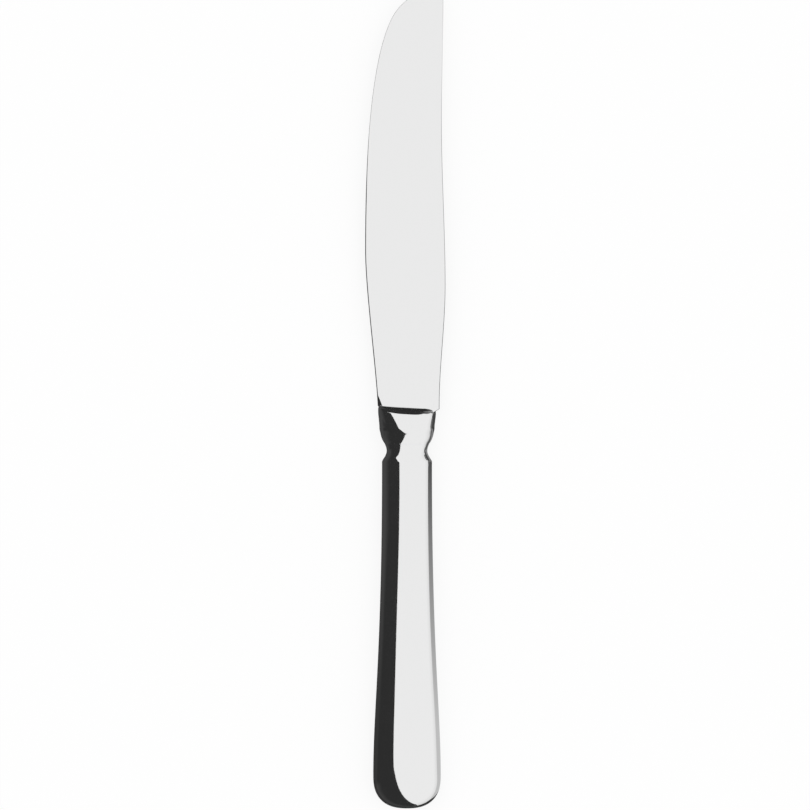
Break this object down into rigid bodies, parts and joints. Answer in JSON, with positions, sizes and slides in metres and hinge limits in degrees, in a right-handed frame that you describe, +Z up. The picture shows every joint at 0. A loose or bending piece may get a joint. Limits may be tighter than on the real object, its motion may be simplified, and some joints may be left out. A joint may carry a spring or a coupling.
{
  "type": "table knife",
  "caption": "Polished steel table knife with a flat bellied blade, flared bolster, grooved neck and a plain hollow handle that widens to a rounded butt.",
  "frame": {"origin": "under the middle of the whole knife, on the plane that it lies on", "axes": "+Y along the knife to the tip, +X to the spine, so the cutting edge faces -X, and +Z up out of the front of the handle"},
  "size_m": [0.023, 0.2352, 0.0084],
  "materials": {
    "polished_steel": "polished",
    "braze": "polished",
    "solder": "satin",
    "cement": "matte"
  },
  "bodies": {
    "root": {"blade": "polished_steel", "handle_front_shell": "polished_steel", "handle_back_shell": "polished_steel", "handle_seam": "braze", "neck_solder": "solder", "tang_cement": "cement"}
  },
  "joints": []
}
